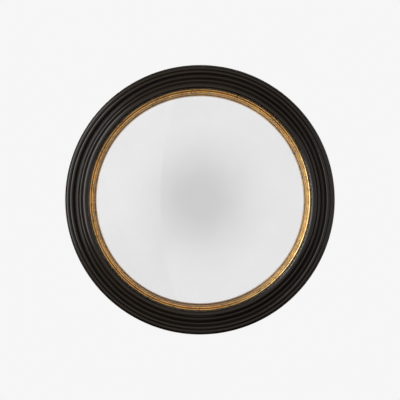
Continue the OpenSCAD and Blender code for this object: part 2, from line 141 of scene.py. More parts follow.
# %% [markdown]
# Nothing made by hand is quite even. A Displace modifier could add waves, but the materials couldn't
# read them. Noise that is worked out on the ring's own grid closes on itself, and the mesh can
# store it.

# %% Soft noise
def smooth_noise(u, v, cells_u, cells_v, seed):
    """Soft hills from -1 to 1. A seeded random height stands on each crossing of a grid, and the
    height eases from one crossing to the next by three times the square of the way less twice its
    cube. u and v run from 0 to 1 and the grid closes along u."""
    heights = np.random.default_rng(seed).uniform(-1.0, 1.0, (cells_u, cells_v + 1))
    x, y = u * cells_u, np.clip(v, 0.0, 1.0) * cells_v
    i, j = np.floor(x).astype(int), np.minimum(np.floor(y).astype(int), cells_v - 1)
    ease_x, ease_y = (t * t * (3 - 2 * t) for t in (x - i, y - j))
    low = heights[i % cells_u, j] * (1 - ease_x) + heights[(i + 1) % cells_u, j] * ease_x
    high = heights[i % cells_u, j + 1] * (1 - ease_x) + heights[(i + 1) % cells_u, j + 1] * ease_x
    return low * (1 - ease_y) + high * ease_y


# %% [markdown]
# A mesh is filled from whole arrays: the corner numbers of all the faces go in at once. A closed
# shape made this way can come out inside out, and its signed volume, the sum over its triangles of
# one sixth of the triple product of their corners, then is negative, so the faces are turned.

# %% Mesh helpers
SHARP_ANGLE = 50
scene = bpy.context.scene


def signed_volume(points, faces):
    """One sixth of the sum of triple products over the faces, each cut into a fan of triangles."""
    total = 0.0
    for block in faces:
        for k in range(1, block.shape[1] - 1):
            a, b, c = (points[block[:, m]] for m in (0, k, k + 1))
            total += np.einsum("ij,ij->", a, np.cross(b, c)) / 6
    return total


def make_mesh(name, points, faces, flat=0, **values):
    """An object from points in metres and blocks of faces with the same number of corners each.
    The last blocks, as many as flat says, stay flat and the rest is smooth. Each extra keyword is a
    named value at every point, for the materials."""
    if signed_volume(points, faces) < 0:
        faces = [block[:, ::-1] for block in faces]
    corners = np.concatenate([block.ravel() for block in faces])
    sizes = np.concatenate([np.full(len(block), block.shape[1]) for block in faces])
    starts = np.concatenate([[0], np.cumsum(sizes)[:-1]])
    mesh = bpy.data.meshes.new(name)
    mesh.vertices.add(len(points))
    mesh.vertices.foreach_set("co", points.astype(np.float32).ravel())
    mesh.loops.add(len(corners))
    mesh.loops.foreach_set("vertex_index", corners.astype(np.int32))
    mesh.polygons.add(len(sizes))
    mesh.polygons.foreach_set("loop_start", starts.astype(np.int32))
    mesh.update(calc_edges=True)
    flat_faces = sum(len(block) for block in faces[len(faces) - flat:])
    mesh.polygons.foreach_set("use_smooth", np.arange(len(sizes)) < len(sizes) - flat_faces)
    mesh.set_sharp_from_angle(angle=np.radians(SHARP_ANGLE))
    for key, value in values.items():
        stored = mesh.attributes.new(key, "FLOAT", "POINT").data
        stored.foreach_set("value", value.astype(np.float32).ravel())
    mesh.validate()
    piece = bpy.data.objects.new(name, mesh)
    scene.collection.objects.link(piece)
    print(name, "has", sum(len(b) * (b.shape[1] - 2) for b in faces), "triangles")
    return piece


# %% [markdown]
# A ring's points form a grid: one row for every step round the axis and one column for every point
# of the section. The next helpers number the grid's quads, carry a section round, and give every
# point of the grid its place in the noise.

# %% Ring helpers
def grid_quads(rows, columns, close_rows, close_columns):
    """Corner numbers of the quads of a grid. The point in row i and column j has the number i times
    the columns plus j, and a closed direction starts again at 0 after its last."""
    i, j = np.meshgrid(np.arange(rows - (not close_rows)), np.arange(columns - (not close_columns)),
                       indexing="ij")
    after_i, after_j = (i + 1) % rows, (j + 1) % columns
    quads = np.stack([i * columns + j, after_i * columns + j,
                      after_i * columns + after_j, i * columns + after_j], axis=-1)
    return quads.reshape(-1, 4)


def turned(section, angles, push=0.0, outward=None):
    """The section carried round the axis: x is the radius times the cosine of the angle, z the
    radius times its sine, and y the frame's back less the height. A push in millimetres moves
    each point along the section's outward direction first."""
    place = np.broadcast_to(section, (len(angles),) + section.shape)
    if outward is not None:
        place = place + push[..., None] * outward
    radius, height = place[..., 0] * MM, place[..., 1] * MM
    turn = np.asarray(angles)[:, None]
    return np.stack([radius * np.cos(turn), BACK_Y - height, radius * np.sin(turn)], axis=-1)


def all_round(values, steps):
    """The values along a section, the same at every step round the axis."""
    return np.repeat(values[None, :], steps, axis=0)


def noise_place(section, angles):
    """u and v of a ring's points: u is the angle as a share of the full turn, and v goes evenly
    from 0 to 1 along the section."""
    u = np.repeat((angles / (2 * np.pi))[:, None], len(section), axis=1)
    return u, all_round(np.linspace(0.0, 1.0, len(section)), len(angles))


# %% [markdown]
# Materials are node trees, which can also be wired by hand in the Shader Editor. A short helper adds
# a node, sets its options and fills its inputs with values or with links, so a tree reads from top
# to bottom like a recipe. Colours are written as they look on screen and turned into the linear
# values that the shader wants.

# %% Colours and nodes
def screen(red, green, blue):
    """A colour given as it looks on screen, 0 to 255, in linear values: below 0.04045 it is divided
    by 12.92, and above that it is a power of 2.4."""
    share = np.array([red, green, blue]) / 255
    linear = np.where(share <= 0.04045, share / 12.92, ((share + 0.055) / 1.055) ** 2.4)
    return (*[float(v) for v in linear], 1.0)


def grey(value):
    """A neutral grey: red, green and blue are the same."""
    return screen(value, value, value)


def fill(socket, value):
    """Links another socket to this one, or sets a plain value. A socket's id_data is its tree."""
    if isinstance(value, bpy.types.NodeSocket):
        socket.id_data.links.new(value, socket)
    else:
        socket.default_value = value


def add(tree, kind, settings=None, **inputs):
    """Adds a node. Settings are its options, and inputs are values or the sockets that feed it, by
    socket name with underscores for spaces, or _0, _1 and so on by number."""
    made = tree.nodes.new(kind)
    for key, value in (settings or {}).items():
        setattr(made, key, value)
    for key, value in inputs.items():
        number = key[1:]
        socket = int(number) if number.isdigit() else key.replace("_", " ")
        fill(made.inputs[socket], value)
    return made


# %% [markdown]
# Most of a finish is masks: values from 0 to 1 that say where something is. They are stretched,
# multiplied and laid over each other, and then choose between colours.

# %% Mixing
def ramp(factor, *stops):
    """A colour ramp through (position, colour) stops."""
    made = add(factor.id_data, "ShaderNodeValToRGB", _0=factor)
    elements = made.color_ramp.elements
    while len(elements) < len(stops):
        elements.new(0.5)
    for element, (position, colour) in zip(elements, stops):
        element.position, element.color = position, colour
    return made.outputs["Color"]


def mix(factor, first, second):
    """The first colour where the factor is 0, and the second where it is 1. In the Mix node,
    inputs 6 and 7 are its two colours and output 2 is the result."""
    made = add(factor.id_data, "ShaderNodeMix", {"data_type": "RGBA"},
               _0=factor, _6=first, _7=second)
    return made.outputs[2]


def level(value, low, high, to_low=0.0, to_high=1.0):
    """A value's range from low to high, eased to another range. It falls as the value rises where
    low is above high."""
    made = add(value.id_data, "ShaderNodeMapRange", {"interpolation_type": "SMOOTHSTEP"},
               _0=value, _1=low, _2=high, _3=to_low, _4=to_high)
    return made.outputs[0]


def maths(operation, first, second=0.0):
    """Plain arithmetic, such as ADD or DIVIDE, on two values of which one or both are sockets."""
    tree = next(v.id_data for v in (first, second) if isinstance(v, bpy.types.NodeSocket))
    return add(tree, "ShaderNodeMath", {"operation": operation}, _0=first, _1=second).outputs[0]


def times(first, second):
    """The product of two values, such as a mask and its strength."""
    return maths("MULTIPLY", first, second)


def largest(first, *others):
    """The largest of several values, which lays masks over each other."""
    for other in others:
        first = maths("MAXIMUM", first, other)
    return first


def rest(mask):
    """One less the mask, which is what the mask leaves free."""
    return maths("SUBTRACT", 1.0, mask)


def vector_maths(operation, vector, **inputs):
    """Arithmetic on a vector. Its outputs are Vector and, for lengths and dot products, Value."""
    return add(vector.id_data, "ShaderNodeVectorMath", {"operation": operation},
               _0=vector, **inputs).outputs


# %% [markdown]
# The patterns come from noise in the object's own coordinates, so they stay on the piece when it
# moves, and from the values that the meshes hold. A bump leans the surface's normal without moving
# a point, which is enough for grain and pores that are finer than the mesh.

# %% Patterns and finishes
def noise(vector, scale, detail=3.0, roughness=0.55, **extra):
    """A cloudy value from 0 to 1, whose hills are one metre over the scale across."""
    made = add(vector.id_data, "ShaderNodeTexNoise", Vector=vector, Scale=scale, Detail=detail,
               Roughness=roughness, **extra)
    return made.outputs["Fac"]


def bump(height, strength, depth, **under):
    """A normal leaned by a height, at most the depth in millimetres, on top of another Normal if
    one is given. A depth below 0 is a dent."""
    made = add(height.id_data, "ShaderNodeBump", Height=height, Strength=strength,
               Distance=depth * MM, **under)
    return made.outputs[0]


def attribute(tree, name):
    """A value that the mesh holds at each point."""
    return add(tree, "ShaderNodeAttribute", {"attribute_name": name}).outputs["Fac"]


def finish(name, *pieces):
    """A new material with one Principled shader, put on every piece, and its tree, its shader and
    the object coordinates."""
    material = bpy.data.materials.new(name)
    material.use_nodes = True
    tree = material.node_tree
    shader = tree.nodes["Principled BSDF"]
    place = add(tree, "ShaderNodeTexCoord").outputs["Object"]
    for piece in pieces:
        piece.data.materials.clear()
        piece.data.materials.append(material)
    return tree, shader, place


def feed(shader, **inputs):
    """Links or sets the shader's inputs by name. Then the finish is complete."""
    for key, value in inputs.items():
        fill(shader.inputs[key.replace("_", " ")], value)
    print("finish of", len(shader.id_data.nodes), "nodes")


# %% [markdown]
# Three effects come back in several finishes, so each is a node group that is built once and placed
# with its own values. A group only puts out values, never a shader. "Wood figure" is the first. Its
# grain lines run along X of the vector it is fed, because that direction is pressed together before
# the noise reads it, and the pores are a finer noise.

# %% Wood figure
GRAIN_STRETCH = (0.06, 1.0, 1.0)


def group(name, inputs, outputs):
    """An empty node group. Inputs are names with a default value, or with None for a vector."""
    tree = bpy.data.node_groups.new(name, "ShaderNodeTree")
    for key, value in inputs.items():
        kind = "NodeSocketVector" if value is None else "NodeSocketFloat"
        socket = tree.interface.new_socket(key, in_out="INPUT", socket_type=kind)
        if value is not None:
            socket.default_value = value
    for key in outputs:
        tree.interface.new_socket(key, in_out="OUTPUT", socket_type="NodeSocketFloat")
    print("group", name, "gives", *outputs)
    return tree, tree.nodes.new("NodeGroupInput").outputs, tree.nodes.new("NodeGroupOutput").inputs


def use(made, place, **inputs):
    """Puts a node group into a material, on these coordinates."""
    return add(place.id_data, "ShaderNodeGroup", {"node_tree": made}, Vector=place, **inputs).outputs


wood_figure, given, gives = group("Wood figure", {"Vector": None, "Scale": 1.0}, ["Rings", "Pores"])
stretched = vector_maths("MULTIPLY", given["Vector"], _1=GRAIN_STRETCH)["Vector"]
scaled = vector_maths("SCALE", stretched, _3=given["Scale"])["Vector"]
rings = noise(scaled, 60.0, 4.0, 0.6, Distortion=0.6)
pores = noise(scaled, 900.0, 2.0, 0.5)
fill(gives["Rings"], level(rings, 0.3, 0.7))
fill(gives["Pores"], level(pores, 0.55, 0.72))

# %% [markdown]
# Hands and dusters rub a moulding where it stands out. "Worn crests" adds the crest value that the
# mesh holds to a cloud of noise, and what lies above a limit is rubbed, so the crests wear first and
# in broken spots. A higher amount lowers the limit.

# %% Worn crests
CREST_SHARE = 0.22
LIMIT_AT_NONE = 1.1

worn_crests, given, gives = group(
    "Worn crests", {"Vector": None, "Crest": 0.0, "Scale": 40.0, "Amount": 0.5}, ["Mask"])
cloud = noise(given["Vector"], given["Scale"], 6.0, 0.62)
together = maths("ADD", cloud, times(given["Crest"], CREST_SHARE))
limit = maths("SUBTRACT", LIMIT_AT_NONE, given["Amount"])
above = maths("SUBTRACT", together, limit)
fill(gives["Mask"], level(above, -0.03, 0.05))

# %% [markdown]
# "Handled metal" gives the streaks and spots of old plated or brass hardware: two noises, of which
# the finer one is cut off so that only its highest hills stay as spots.

# %% Handled metal
handled_metal, given, gives = group(
    "Handled metal", {"Vector": None, "Scale": 1.0}, ["Streaks", "Spots"])
scaled = vector_maths("SCALE", given["Vector"], _3=given["Scale"])["Vector"]
fill(gives["Streaks"], noise(scaled, 420.0, 3.0, 0.6))
spots = noise(scaled, 1300.0, 2.0, 0.5)
fill(gives["Spots"], level(spots, 0.6, 0.72))

# %% [markdown]
# The camera stands straight in front and far off, because the photograph shows hardly any
# perspective. The outline is about 270 of its 400 pixels across and a quarter of a pixel above the
# middle, so the camera stands as much below.

# %% Camera
PHOTO_W = 400
OUTLINE_R_PX = 134.8
OUTLINE_X_PX, OUTLINE_Y_PX = 199.98, 199.76
SENSOR_W = 36.0
CAMERA_DISTANCE = 8.0
OUTLINE_D = 17.8

pixel = FRAME_R * MM / OUTLINE_R_PX
camera_data = bpy.data.cameras.new("camera")
camera_data.sensor_width = SENSOR_W
camera_data.lens = SENSOR_W * CAMERA_DISTANCE / (PHOTO_W * pixel)
camera = bpy.data.objects.new("camera", camera_data)
outline_y = BACK_Y - OUTLINE_D * MM
camera.location = ((PHOTO_W / 2 - OUTLINE_X_PX) * pixel, outline_y - CAMERA_DISTANCE,
                   (OUTLINE_Y_PX - PHOTO_W / 2) * pixel)
camera.rotation_euler = (np.pi / 2, 0.0, 0.0)
scene.collection.objects.link(camera)
bpy.context.scene.camera = camera
print("lens", round(camera_data.lens, 1), "mm,", round(pixel / MM, 4), "mm to a pixel")

# %% [markdown]
# The black frame's face falls outwards: a broad half round beside the slip, a small one, a hollow, a
# deep groove, a half round, and a rounded edge with a bevel. Its section is a chain of these
# mouldings, from the slip to the rim, and then back along the flat back with its rebates for the
# slip and for the board.

# %% Outline of the black frame
REBATE_D = 19.55
ROUND_OUT, ROUND_CREST, QUIRK_D = 250.8, 38.0, 32.3
BEAD_IN, BEAD_OUT, BEAD_CREST, STEP_D = 251.2, 257.3, 33.4, 26.0
COVE_IN, COVE_OUT, COVE_D, COVE_R = 258.7, 265.5, 24.0, 8.0
GROOVE_D = 19.0
OUTER_IN, OUTER_OUT, OUTER_CREST, EDGE_GAP_D = 269.3, 277.9, 29.0, 25.0
EDGE_IN, EDGE_MID, EDGE_OUT, EDGE_CREST, EDGE_R = 278.9, 281.0, 285.3, 26.8, 5.0
RIM_D = 19.7
BACK_ROUND = 2.0
BOARD_FRONT_D = 4.0
FRAME_SOFTNESS = 0.22
FACE_FROM_D = GROOVE_D - 4.0

cove_turn = np.degrees(np.arccos((COVE_OUT - COVE_IN) / COVE_R))
edge_in_turn = np.degrees(np.arcsin((EDGE_MID - EDGE_IN) / EDGE_R))
edge_out_turn = np.degrees(np.arcsin((EDGE_OUT - EDGE_MID) / EDGE_R))
frame_outline = np.vstack([
    roundel(LIP_R, ROUND_OUT, ROUND_CREST, REBATE_D, QUIRK_D),
    roundel(BEAD_IN, BEAD_OUT, BEAD_CREST, QUIRK_D, STEP_D),
    [(COVE_IN, STEP_D)],
    arc(COVE_R, (COVE_OUT, COVE_D + COVE_R), 180 + cove_turn, 270.0),
    [(COVE_OUT, GROOVE_D)],
    roundel(OUTER_IN, OUTER_OUT, OUTER_CREST, GROOVE_D, EDGE_GAP_D),
    [(EDGE_IN, EDGE_GAP_D)],
    arc(EDGE_R, (EDGE_MID, EDGE_CREST - EDGE_R), 90.0 + edge_in_turn, 90.0 - edge_out_turn),
    [(FRAME_R, RIM_D)],
    arc(BACK_ROUND, (FRAME_R - BACK_ROUND, BACK_ROUND), 0.0, -90.0, 8),
    [(BOARD_BORE_R, 0.0), (BOARD_BORE_R, BOARD_FRONT_D), (SLIP_BORE_R, BOARD_FRONT_D)],
    [(SLIP_BORE_R, REBATE_D)],
])
frame_section, frame_crest, frame_outward = section_of(
    frame_outline, FRAME_SOFTNESS, lambda p: p[:, 1] > FACE_FROM_D)
print("frame section of", len(frame_section), "points")

# %% [markdown]
# The frame is turned from eight segments of wood that are glued end to end, since no plank is wide
# enough for the ring. One ring of mesh would be simpler, but then the grain couldn't change its
# direction at the joints. So each segment is the same section, carried through an eighth of the
# circle and closed by a flat end. Hand sanding leaves low waves and shallow flats. They are pushed
# into the surface as soft noise, always inwards, so that the piece stays inside its model.

# %% Frame segments
FRAME_STEPS = 90
# Each noise has its cells round the ring, its cells along the section and its seed.
SANDED_WAVES, WAVE_H = (56, 18, 3), 0.035
SANDED_RIPPLES, RIPPLE_H = (420, 60, 4), 0.012
JOINT_DIP, JOINT_W = 0.012, 0.7
BACK_FACE_D = 1.2


def frame_segment(number):
    """One segment: the section carried through its share of the circle. It is pushed inwards by
    waves a few centimetres long, by finer ones, and by a hairline dip at its glued ends, which is
    a bell of the distance along the rim to the nearer end."""
    span = 2 * np.pi / len(SEGMENTS)
    share = np.linspace(0.0, 1.0, FRAME_STEPS + 1)
    angles = (number - 1 + share) * span
    u, v = noise_place(frame_section, angles)
    from_end = np.minimum(share, 1 - share)[:, None] * span * FRAME_R
    push = -WAVE_H * (1 + smooth_noise(u, v, *SANDED_WAVES))
    push -= RIPPLE_H * (1 + smooth_noise(u, v, *SANDED_RIPPLES))
    push -= JOINT_DIP * np.exp(-((from_end / JOINT_W) ** 2))
    points = turned(frame_section, angles, push, frame_outward).reshape(-1, 3)
    rows, columns = len(angles), len(frame_section)
    ends = [np.arange(columns)[None, ::-1], (np.arange(columns) + (rows - 1) * columns)[None, :]]
    behind = (frame_section[:, 1] < BACK_FACE_D).astype(float)
    piece = make_mesh(f"segment_{number}", points, [grid_quads(rows, columns, False, True), *ends],
                      flat=2, crest=all_round(frame_crest, rows), behind=all_round(behind, rows))
    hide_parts(f"frame_segment_{number}")
    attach(piece, "mirror")
    return piece


frame_pieces = [frame_segment(number) for number in range(1, len(SEGMENTS) + 1)]

# %% [markdown]
# The black finish is stain and wax over wood, nearly black and a little brown. In a few places the
# crests are rubbed to the brown wood, and the channels are painted darker: dark old wax together
# with painted shade. The back was never stained and shows brown wood with its pores. One flat
# black would look like plastic, so clouds of noise and the crest value vary it.

# %% Colours of the black finish
STAIN_DEEP, STAIN_BROWN = screen(26, 17, 8), screen(32, 21, 11)
RUBBED_DEEP, RUBBED_BROWN = screen(40, 27, 18), screen(60, 40, 26)
OLD_WAX_AND_SHADE = screen(14, 10, 8)
WOOD_DEEP, WOOD_BROWN, WOOD_PALE = screen(70, 47, 31), screen(104, 73, 48), screen(125, 92, 62)
PORE_BROWN = screen(48, 31, 20)


def stained_face(place, grain, crest, clouds):
    """Black stain in clouds, brown where the crests are rubbed, and dark wax with painted
    shade in the hollows.
    """
    rubbed = use(worn_crests, place, Crest=crest, Scale=18.0, Amount=0.25)["Mask"]
    black = ramp(clouds, (0.3, STAIN_DEEP), (0.7, STAIN_BROWN))
    brown = ramp(grain["Rings"], (0.2, RUBBED_DEEP), (0.8, RUBBED_BROWN))
    # The hollows are painted darker: old wax, and painted shade in the channels.
    hollow_grime_and_shade = level(crest, -0.2, -0.8)
    return mix(times(hollow_grime_and_shade, 0.6), mix(rubbed, black, brown), OLD_WAX_AND_SHADE)


def bare_back(grain):
    """Brown wood whose rings and pores are darker."""
    wood = ramp(grain["Rings"], (0.0, WOOD_DEEP), (0.6, WOOD_BROWN), (1.0, WOOD_PALE))
    return mix(times(grain["Pores"], 0.7), wood, PORE_BROWN)


# %% [markdown]
# The grain must run straight along each segment, not round the ring, so a Mapping node turns the
# coordinates to the segment's own chord, in one material a segment. Wax takes the hard shine off
# the stain and gives a satin one, polished on the crests and missing in the channels. So the plain
# specular level is low everywhere, and a coat stands for the wax, stronger towards the crests.

# %% Ebonised finish
STAIN_SHINE = 0.14
WAX_TINT = screen(255, 252, 247)
WAX_ROUGHNESS = 0.22


def ebonised(piece, number):
    """Black stain and wax on the face, bare brown wood on the back. The border between them is the
    mesh's own back value, made uneven by the clouds."""
    tree, shader, place = finish(f"ebonised wood {number}", piece)
    chord = -(number - 0.5) * 2 * np.pi / len(SEGMENTS) + np.pi / 2
    along = add(tree, "ShaderNodeMapping", Vector=place, Rotation=(0.0, -chord, 0.0)).outputs[0]
    grain = use(wood_figure, along, Scale=1.0)
    crest = attribute(tree, "crest")
    clouds = noise(place, 22.0, 4.0)
    uneven = maths("SUBTRACT", clouds, 0.5)
    edge = maths("ADD", attribute(tree, "behind"), times(uneven, 0.9))
    is_back = level(edge, 0.45, 0.7)
    gloss = maths("ADD", level(crest, -0.6, 0.8, 0.36, 0.17), times(uneven, 0.12))
    gloss = maths("ADD", gloss, times(is_back, 0.25))
    lean = bump(grain["Pores"], 0.25, -0.12)
    lean = bump(noise(place, 1500.0, 2.0), 0.12, 0.08, Normal=lean)
    face = stained_face(place, grain, crest, clouds)
    feed(shader, Base_Color=mix(is_back, face, bare_back(grain)),
         Roughness=gloss, Normal=lean, Specular_IOR_Level=STAIN_SHINE, Specular_Tint=WAX_TINT,
         Coat_Weight=level(crest, -0.7, 0.3, 0.0, 0.45), Coat_Roughness=WAX_ROUGHNESS)


for number, piece in enumerate(frame_pieces, 1):
    ebonised(piece, number)

# %% [markdown]
# The slip is a thinner ring of wood under gesso, red clay and gold leaf. From the glass outwards it
# has a splayed edge, a large bead and a smaller one. Behind, it is cut to the glass's own curve, so
# that the glass seats in it.

# %% Outline of the gilt slip
SIGHT_EDGE_D = 15.8
MAIN_IN, MAIN_OUT, MAIN_CREST = 227.8, 232.6, 25.2
FILLET_IN, FILLET_OUT, FILLET_CREST = 233.0, 236.8, 27.6
SLIP_QUIRK_D, FLANGE_D = 23.2, 19.4
SEAT_GAP = 0.2
SLIP_SOFTNESS = 0.16
SHOWN_R = LIP_R + 0.3


def bowed_height(radius, sphere):
    """Height of a sphere round the glass's centre above a radius, by Pythagoras."""
    return BOW_CENTRE + np.sqrt(sphere**2 - radius**2)


seat_radii = np.linspace(GLASS_BORE_R, SIGHT_R, 6)
slip_outline = np.vstack([
    [(SIGHT_R, SIGHT_EDGE_D)],
    roundel(MAIN_IN, MAIN_OUT, MAIN_CREST, SIGHT_EDGE_D, SLIP_QUIRK_D)[1:],
    roundel(FILLET_IN, FILLET_OUT, FILLET_CREST, SLIP_QUIRK_D, FLANGE_D),
    [(SLIP_R, FLANGE_D), (SLIP_R, GLASS_BACK_EDGE), (GLASS_BORE_R, GLASS_BACK_EDGE)],
    np.stack([seat_radii, bowed_height(seat_radii, BOW_R + SEAT_GAP)], axis=1),
])
slip_section, slip_crest, slip_outward = section_of(
    slip_outline, SLIP_SOFTNESS, lambda p: (p[:, 1] > SEAT_D) & (p[:, 0] < SHOWN_R), coarse=10)
print("slip section of", len(slip_section), "points")

# %% [markdown]
# Age and rubbing break gesso: crumbs have chipped off, more in the hollows' soft gesso than on the
# polished crests. Painted chips would look flat, so they are real dents in the mesh, and the same
# numbers are stored at the points, so that the colour lies exactly where the dents are.

# %% Gesso of the slip
SLIP_STEPS = 920
FINE_CHIPS, FINE_SHARE = (540, 34, 11), 0.6
BROAD_CHIPS, BROAD_SHARE = (230, 16, 12), 0.5
CHIP_START, CHIP_EDGE, CREST_GUARD, CHIP_DEPTH = 0.42, 0.2, 0.1, 0.16
GESSO_WAVES, GESSO_H = (70, 9, 13), 0.03

angles = np.linspace(0.0, 2 * np.pi, SLIP_STEPS, endpoint=False)
u, v = noise_place(slip_section, angles)
chips = smooth_noise(u, v, *FINE_CHIPS) * FINE_SHARE
chips = chips + smooth_noise(u, v, *BROAD_CHIPS) * BROAD_SHARE
chips = np.clip((chips - CREST_GUARD * slip_crest[None, :] - CHIP_START) / CHIP_EDGE, 0.0, 1.0)
push = -GESSO_H * (1 + smooth_noise(u, v, *GESSO_WAVES)) - CHIP_DEPTH * chips
slip_points = turned(slip_section, angles, push, slip_outward).reshape(-1, 3)
print("chips take", round(100 * float((chips > 0.5).mean()), 1), "% of the slip's points")

# %% [markdown]
# The finish differs from moulding to moulding, so the mesh also holds where each part lies: the
# splay, the foot of the large bead, the valley between the beads, and all that lies outside it.
# Each is a slope or a bell over the radius, in millimetres.

# %% Gilt slip
SPLAY_END, SPLAY_FADE = MAIN_IN + 0.9, 1.3
FOOT_R, FOOT_W = MAIN_IN + 0.7, 0.7
VALLEY_R, VALLEY_W = MAIN_OUT + 0.1, 1.0
OUTER_FADE = 0.5

slip_radius = slip_section[:, 0]
parts_of_slip = {
    "crest": slip_crest,
    "splay": np.clip((SPLAY_END - slip_radius) / SPLAY_FADE, 0.0, 1.0),
    "foot": np.exp(-(((slip_radius - FOOT_R) / FOOT_W) ** 2)),
    "valley": np.exp(-(((slip_radius - VALLEY_R) / VALLEY_W) ** 2)),
    "outer": np.clip((slip_radius - MAIN_OUT) / OUTER_FADE, 0.0, 1.0),
}
slip = make_mesh("slip", slip_points, [grid_quads(SLIP_STEPS, len(slip_section), True, True)],
                 chip=chips, **{key: all_round(value, SLIP_STEPS)
                                for key, value in parts_of_slip.items()})
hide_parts("gilt_slip")
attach(slip, "mirror")

# %% [markdown]
# Gold leaf is laid in small sheets over red clay, and rubbing brings the clay through on the
# crests. Towards the right and the lower right, the side that the left softbox lights, the colours
# are painted light: paler in a painted highlight, and a duller, darker leaf as painted shade. The
# outer bead is paler all round. So clouds of noise choose between three golds, and a slope across
# the ring leads over to the colours of the lit side.

# %% Leaf and clay
GOLD_DEEP, GOLD, GOLD_BRIGHT = screen(240, 164, 74), screen(255, 194, 100), screen(255, 217, 136)
GOLD_LAMP_SIDE = screen(168, 134, 72)
OUTER_GOLD, OUTER_GOLD_LAMP_SIDE = screen(255, 203, 120), screen(212, 182, 124)
CLAY_DARK, CLAY_RED = screen(110, 56, 24), screen(148, 84, 42)
LAMP_SIDE_TILT = 0.35

tree, shader, place = finish("gilding", slip)
crest, chip, splay, foot, valley, outer = (
    attribute(tree, name) for name in ("crest", "chip", "splay", "foot", "valley", "outer"))
clouds = noise(place, 55.0, 5.0, 0.6)
specks = noise(place, 620.0, 3.0, 0.6)
axes = add(tree, "ShaderNodeSeparateXYZ", _0=place).outputs
# A slope across the ring towards the right and lower right, the side the left softbox lights. The
# colours it leads to are painted light: a paler painted highlight, and a duller leaf.
lamp_side = level(maths("SUBTRACT", axes["X"], times(axes["Z"], LAMP_SIDE_TILT)), 0.11, 0.2)

leaf = ramp(clouds, (0.25, GOLD_DEEP), (0.5, GOLD), (0.8, GOLD_BRIGHT))
leaf = mix(times(lamp_side, 0.5), leaf, GOLD_LAMP_SIDE)
pale = mix(lamp_side, OUTER_GOLD, OUTER_GOLD_LAMP_SIDE)
leaf = mix(times(outer, level(lamp_side, 0.0, 1.0, 0.6, 0.9)), leaf, pale)
rubbed = use(worn_crests, place, Crest=crest, Scale=240.0, Amount=0.14)["Mask"]
rubbed = times(rubbed, 0.5)
colour = mix(rubbed, leaf, mix(specks, CLAY_DARK, CLAY_RED))
print("leaf and clay:", len(tree.nodes), "nodes")

# %% [markdown]
# Short cracks run across the leaf where the gesso has shrunk. They are the borders of Voronoi
# cells, broken up by a broad noise. Dirt sits in them, in the hollows, where the darkening is
# painted shade as well, in dots along the foot of the large bead, and in specks anywhere.

# %% Cracks, dirt and hollow shade
cells = add(tree, "ShaderNodeTexVoronoi", {"feature": "DISTANCE_TO_EDGE"},
            Vector=place, Scale=150.0, Randomness=1.0).outputs["Distance"]
patchy = level(noise(place, 34.0, 2.0), 0.42, 0.6)
crack = times(level(cells, 0.07, 0.02), patchy)
# The hollows' darkening is dirt and painted shade in the recesses.
hollow_grime_and_shade = times(level(crest, 0.1, -0.35), rest(valley))
dotted = level(noise(place, 420.0, 2.0, 0.5), 0.4, 0.56, 0.65, 1.0)
dots = level(noise(place, 360.0, 2.0, 0.5), 0.4, 0.54, 0.15, 1.0)
speck = times(level(specks, 0.66, 0.74), 0.8)
dark = largest(times(hollow_grime_and_shade, dotted), crack, times(foot, dots), speck, chip)
print("cracks and dirt:", len(tree.nodes), "nodes")

# %% [markdown]
# A brown glaze tones the splay beside the glass down, and pale dust lies in the valley between the
# beads. Towards the right both are painted paler, a painted highlight. The splay and the foot are
# painted darker towards the bottom of the ring, where they face upwards: painted shade. Each is
# laid over the last with its own mask.

# %% Dust, glaze and painted shade low down
DUST, DUST_LAMP_SIDE = screen(182, 116, 46), screen(255, 234, 180)
GLAZE, GLAZE_LAMP_SIDE = screen(206, 145, 56), screen(216, 168, 102)
LOW_SHADE_COLOUR = screen(84, 52, 26)
DARK_DIRT_AND_SHADE, BARE_GESSO = screen(78, 38, 14), screen(82, 42, 20)
LOW_SHADE_FROM_Z, LOW_SHADE_FULL_Z = -0.165, -0.215

# Towards the right, the dust and the glaze are painted paler: a painted highlight.
colour = mix(times(valley, 0.9), colour, mix(lamp_side, DUST, DUST_LAMP_SIDE))
glaze = times(splay, level(clouds, 0.2, 0.7, 0.7, 0.4))
colour = mix(glaze, colour, mix(lamp_side, GLAZE, GLAZE_LAMP_SIDE))
# The splay and the foot are painted darker towards the bottom of the ring: painted shade.
low_down = level(axes["Z"], LOW_SHADE_FROM_Z, LOW_SHADE_FULL_Z)
low_shade = times(low_down, largest(splay, foot))
colour = mix(times(low_shade, 0.6), colour, LOW_SHADE_COLOUR)
# The dark colour goes on dirt, cracks, chips and specks, and as painted shade on the hollows.
colour = mix(dark, colour, mix(chip, DARK_DIRT_AND_SHADE, BARE_GESSO))
print("dust and glaze:", len(tree.nodes), "nodes")

# %% [markdown]
# Gold leaf is a metal, and the clay, the gesso and the glaze are not, so the same masks that mix
# the colours also switch Metallic and Roughness. A gilder seals the leaf with a thin size, which
# has stayed on the beads and is gone from the foot, the valley and most of the splay. The Coat
# input carries it.

# %% Gilding
SEAL_ROUGHNESS, SEAL_IOR = 0.25, 1.6

metal = times(rest(largest(crack, chip, speck, rubbed)), rest(glaze))
gloss = maths("ADD", times(largest(dark, glaze), 0.25), level(clouds, 0.2, 0.8, 0.27, 0.38))
matt = largest(foot, valley, times(splay, 0.6))
lean = bump(crack, 0.5, -0.25)
lean = bump(specks, 0.3, 0.18, Normal=lean)
feed(shader, Base_Color=colour, Metallic=metal, Roughness=gloss, Normal=lean,
     Coat_Weight=rest(matt), Coat_Roughness=SEAL_ROUGHNESS, Coat_IOR=SEAL_IOR)

# %% [markdown]
# The glass is bent sheet: two spheres with one centre, 3.2 mm apart, and a ground edge. Slices of
# two UV spheres could be joined, but their edge would have to be cut and closed. So it is worked
# out as rings of points from the middle of the front, over the edge, to the middle of the back.

